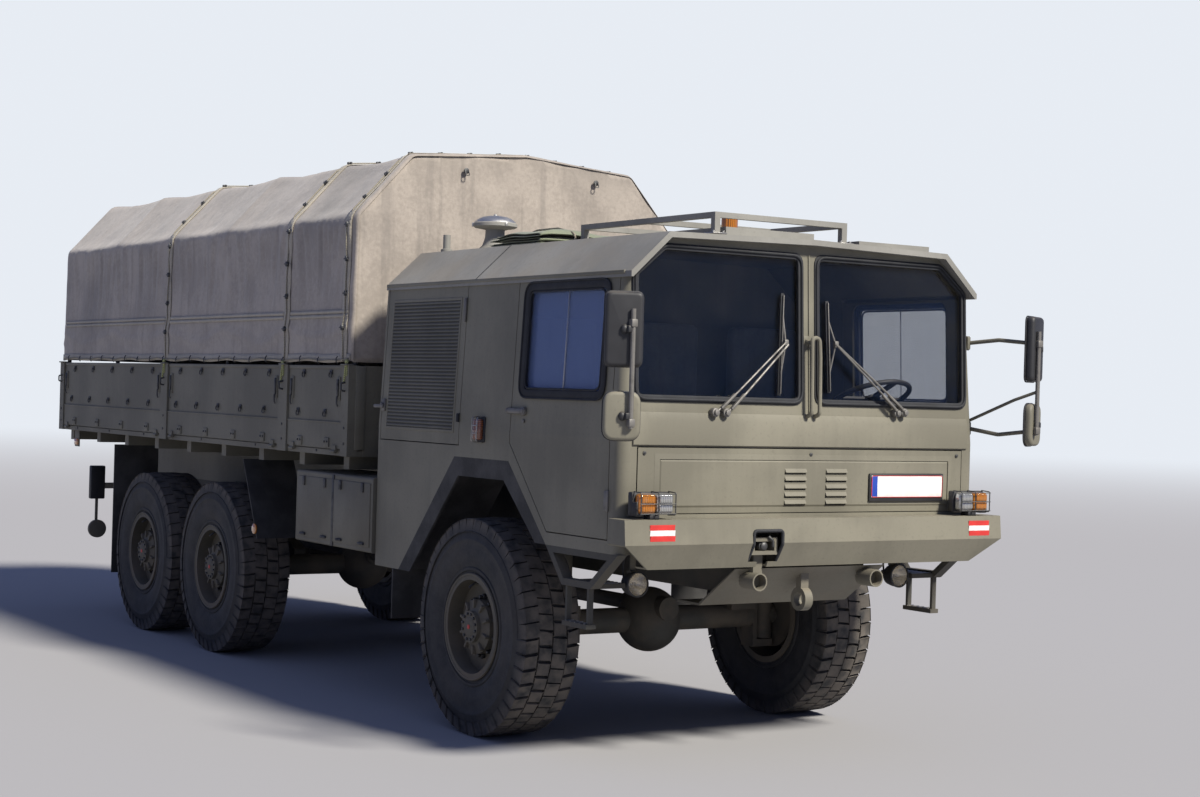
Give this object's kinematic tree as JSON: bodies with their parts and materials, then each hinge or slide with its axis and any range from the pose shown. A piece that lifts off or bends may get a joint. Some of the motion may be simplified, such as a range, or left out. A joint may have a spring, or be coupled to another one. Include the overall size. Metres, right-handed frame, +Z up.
{
  "type": "six-wheel military cargo truck",
  "caption": "Cab-over military cargo truck on off-road wheels, with opening doors, dropsides and a canvas-covered load bed.",
  "frame": {"origin": "on the ground at the middle of the overall box, mirrors and tow coupling included", "axes": "+X to the truck's left side, +Y from the front to the rear, +Z up"},
  "size_m": [2.9966, 9.2, 3.5448],
  "materials": {
    "body_paint": "matt",
    "frame_paint": "matt",
    "tyre": "worn",
    "glass": "clear",
    "canvas": "weathered",
    "roof_canvas": "weathered",
    "seat": "woven",
    "black_plastic": "matt",
    "lamp": "clear"
  },
  "bodies": {
    "truck": {"chassis_frame": "frame_paint", "front_bumper": "body_paint", "front_underrun": "body_paint", "engine": "frame_paint", "driveline": "frame_paint", "front_axle": "frame_paint", "rear_axles": "frame_paint", "cab_body": "body_paint", "cab_roof": "body_paint", "windscreens": "glass", "front_panel": "body_paint", "seats": "seat", "dashboard": "black_plastic", "mirrors": "black_plastic", "cab_steps": "body_paint", "mudguards": "frame_paint", "side_lockers": "body_paint", "roof_rack": "body_paint", "air_intake": "body_paint", "roof_canvas": "roof_canvas", "load_bed": "body_paint", "tarp_hoops": "frame_paint", "tarp": "canvas", "lamps": "lamp", "tow_coupling": "frame_paint"},
    "door_right": {"door_right": "body_paint", "door_glass_right": "glass"},
    "louvre_panel_right": {"louvre_panel_right": "body_paint"},
    "dropside_right_front": {"dropside_right_front": "body_paint"},
    "dropside_right_middle": {"dropside_right_middle": "body_paint"},
    "dropside_right_rear": {"dropside_right_rear": "body_paint"},
    "door_left": {"door_left": "body_paint", "door_glass_left": "glass"},
    "louvre_panel_left": {"louvre_panel_left": "body_paint"},
    "dropside_left_front": {"dropside_left_front": "body_paint"},
    "dropside_left_middle": {"dropside_left_middle": "body_paint"},
    "dropside_left_rear": {"dropside_left_rear": "body_paint"},
    "tailgate": {"tailgate": "body_paint"},
    "knuckle_left": {"knuckle_left": "frame_paint"},
    "knuckle_right": {"knuckle_right": "frame_paint"},
    "wheel_front_right": {"tyre_front_right": "tyre", "rim_front_right": "body_paint"},
    "wheel_front_left": {"tyre_front_left": "tyre", "rim_front_left": "body_paint"},
    "wheel_middle_right": {"tyre_middle_right": "tyre", "rim_middle_right": "body_paint"},
    "wheel_middle_left": {"tyre_middle_left": "tyre", "rim_middle_left": "body_paint"},
    "wheel_rear_right": {"tyre_rear_right": "tyre", "rim_rear_right": "body_paint"},
    "wheel_rear_left": {"tyre_rear_left": "tyre", "rim_rear_left": "body_paint"},
    "steering_wheel": {"steering_wheel": "black_plastic"}
  },
  "joints": [
    {"name": "door_right_hinge", "type": "hinge", "parent": "truck", "child": "door_right", "pos_m": [-1.221, -4.155, 1.7], "axis": [0, 0, 1], "range_deg": [0, 75]},
    {"name": "louvre_panel_right_hinge", "type": "hinge", "parent": "truck", "child": "louvre_panel_right", "pos_m": [-1.221, -2.563, 2.1], "axis": [0, 0, 1], "range_deg": [0, 100]},
    {"name": "dropside_right_front_hinge", "type": "hinge", "parent": "truck", "child": "dropside_right_front", "pos_m": [-1.265, -0.66, 1.545], "axis": [0, -1, 0], "range_deg": [0, 180]},
    {"name": "dropside_right_middle_hinge", "type": "hinge", "parent": "truck", "child": "dropside_right_middle", "pos_m": [-1.265, 0.93, 1.545], "axis": [0, -1, 0], "range_deg": [0, 180]},
    {"name": "dropside_right_rear_hinge", "type": "hinge", "parent": "truck", "child": "dropside_right_rear", "pos_m": [-1.265, 3.265, 1.545], "axis": [0, -1, 0], "range_deg": [0, 180]},
    {"name": "door_left_hinge", "type": "hinge", "parent": "truck", "child": "door_left", "pos_m": [1.221, -4.155, 1.7], "axis": [0, 0, -1], "range_deg": [0, 75]},
    {"name": "louvre_panel_left_hinge", "type": "hinge", "parent": "truck", "child": "louvre_panel_left", "pos_m": [1.221, -2.563, 2.1], "axis": [0, 0, -1], "range_deg": [0, 100]},
    {"name": "dropside_left_front_hinge", "type": "hinge", "parent": "truck", "child": "dropside_left_front", "pos_m": [1.265, -0.66, 1.545], "axis": [0, 1, 0], "range_deg": [0, 180]},
    {"name": "dropside_left_middle_hinge", "type": "hinge", "parent": "truck", "child": "dropside_left_middle", "pos_m": [1.265, 0.93, 1.545], "axis": [0, 1, 0], "range_deg": [0, 180]},
    {"name": "dropside_left_rear_hinge", "type": "hinge", "parent": "truck", "child": "dropside_left_rear", "pos_m": [1.265, 3.265, 1.545], "axis": [0, 1, 0], "range_deg": [0, 180]},
    {"name": "tailgate_hinge", "type": "hinge", "parent": "truck", "child": "tailgate", "pos_m": [0, 4.555, 1.545], "axis": [-1, 0, 0], "range_deg": [0, 180]},
    {"name": "steer_left", "type": "hinge", "parent": "truck", "child": "knuckle_left", "pos_m": [0.86, -2.78, 0.62], "axis": [0, 0, 1], "range_deg": [-30, 30]},
    {"name": "steer_right", "type": "hinge", "parent": "truck", "child": "knuckle_right", "pos_m": [-0.86, -2.78, 0.62], "axis": [0, 0, 1], "range_deg": [-30, 30]},
    {"name": "wheel_front_right_roll", "type": "hinge", "parent": "knuckle_right", "child": "wheel_front_right", "pos_m": [-1.0525, -2.78, 0.62], "axis": [1, 0, 0], "continuous": true},
    {"name": "wheel_front_left_roll", "type": "hinge", "parent": "knuckle_left", "child": "wheel_front_left", "pos_m": [1.0525, -2.78, 0.62], "axis": [1, 0, 0], "continuous": true},
    {"name": "wheel_middle_right_roll", "type": "hinge", "parent": "truck", "child": "wheel_middle_right", "pos_m": [-1.0525, 1.09, 0.62], "axis": [1, 0, 0], "continuous": true},
    {"name": "wheel_middle_left_roll", "type": "hinge", "parent": "truck", "child": "wheel_middle_left", "pos_m": [1.0525, 1.09, 0.62], "axis": [1, 0, 0], "continuous": true},
    {"name": "wheel_rear_right_roll", "type": "hinge", "parent": "truck", "child": "wheel_rear_right", "pos_m": [-1.0525, 2.49, 0.62], "axis": [1, 0, 0], "continuous": true},
    {"name": "wheel_rear_left_roll", "type": "hinge", "parent": "truck", "child": "wheel_rear_left", "pos_m": [1.0525, 2.49, 0.62], "axis": [1, 0, 0], "continuous": true},
    {"name": "steering_wheel_turn", "type": "hinge", "parent": "truck", "child": "steering_wheel", "pos_m": [0.8, -3.82, 1.985], "axis": [0, 0.4229, 0.9062], "range_deg": [-600, 600]}
  ],
  "couplings": [
    {"joint": "steer_right", "follows": "steer_left", "ratio": 1},
    {"joint": "steering_wheel_turn", "follows": "steer_left", "ratio": 19.5}
  ]
}
